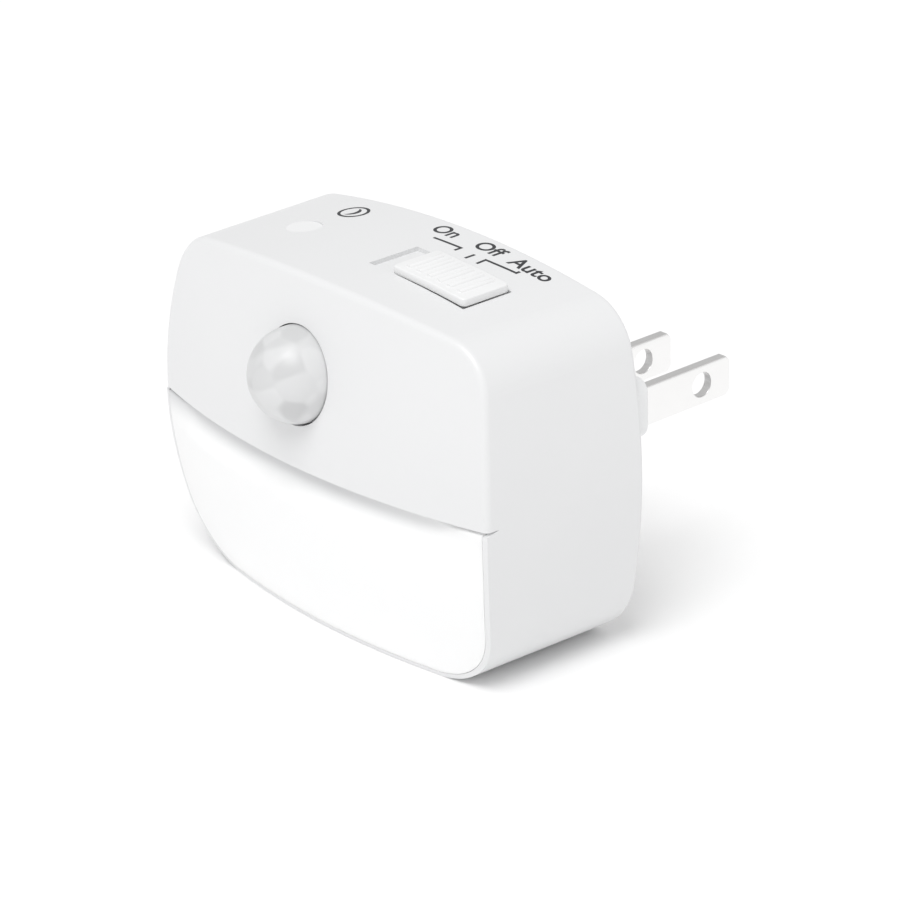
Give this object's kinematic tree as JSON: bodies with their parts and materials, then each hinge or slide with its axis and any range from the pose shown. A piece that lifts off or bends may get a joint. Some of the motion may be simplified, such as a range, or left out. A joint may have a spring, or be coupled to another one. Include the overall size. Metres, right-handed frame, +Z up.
{
  "type": "plug-in night light",
  "caption": "Rounded plug-in night light with a milky lower diffuser, a domed motion sensor, a daylight window, a slide switch on top and a flat-blade plug behind.",
  "frame": {"origin": "middle of the case's footprint, on its flat base", "axes": "+X to the right seen from the front, +Y to the rear along the plug's blades, +Z up"},
  "size_m": [0.0792, 0.0641, 0.0593],
  "materials": {
    "case_plastic": "white moulded ABS, fine satin gloss",
    "diffuser_plastic": "milky translucent polycarbonate",
    "lens_plastic": "frosted infrared-passing polyethylene",
    "window_plastic": "clear moulded acrylic",
    "knob_plastic": "white moulded ABS, satin",
    "cover_plastic": "white moulded ABS, fine texture",
    "insert_plastic": "white moulded polycarbonate",
    "blade_nickel": "nickel-plated brass strip",
    "board_laminate": "green solder mask on glass-epoxy laminate",
    "led_package": "white resin body with yellow phosphor",
    "chip_epoxy": "black moulding compound with tinned legs",
    "holder_plastic": "natural polypropylene",
    "sensor_can": "nickel-plated steel can",
    "filter_window": "coated silicon, dark and mirror-like",
    "tinned_wire": "tin-plated wire",
    "photocell_ceramic": "epoxy-coated ceramic disc",
    "switch_steel": "tin-plated sheet steel",
    "wafer_laminate": "brown phenolic laminate",
    "terminal_brass": "silver-plated brass",
    "lever_plastic": "black acetal",
    "contact_brass": "spring brass",
    "film_capacitor_case": "red epoxy-filled box",
    "electrolytic_sleeve": "dark sleeve with a bare aluminium end",
    "resistor_coating": "grey-green flameproof coating",
    "chip_resistor_ceramic": "black glaze with tinned ends",
    "header_plastic": "black moulded polyester",
    "screw_steel": "zinc-plated steel"
  },
  "bodies": {
    "case": {"front_housing": "case_plastic", "diffuser": "diffuser_plastic", "pir_lens": "lens_plastic", "daylight_window": "window_plastic", "rear_cover": "cover_plastic", "plug_insert": "insert_plastic", "blade_left": "blade_nickel", "blade_right": "blade_nickel", "front_board": "board_laminate", "power_board": "board_laminate", "leds": "led_package", "control_chip": "chip_epoxy", "sensor_holder": "holder_plastic", "pir_sensor": "sensor_can", "pir_filter": "filter_window", "pir_pins": "tinned_wire", "photocell": "photocell_ceramic", "switch_frame": "switch_steel", "switch_wafer": "wafer_laminate", "switch_terminals": "terminal_brass", "film_capacitor": "film_capacitor_case", "electrolytic_capacitor": "electrolytic_sleeve", "bridge_rectifier": "chip_epoxy", "fusible_resistor": "resistor_coating", "chip_resistors": "chip_resistor_ceramic", "link_header": "header_plastic", "link_pins": "tinned_wire", "case_screws": "screw_steel", "board_screws": "screw_steel"},
    "switch": {"switch_knob": "knob_plastic", "switch_lever": "lever_plastic", "switch_contact": "contact_brass"}
  },
  "joints": [
    {"name": "switch_slide", "type": "slide", "parent": "case", "child": "switch", "axis": [1, 0, 0], "range_m": [-0.0049, 0]}
  ]
}
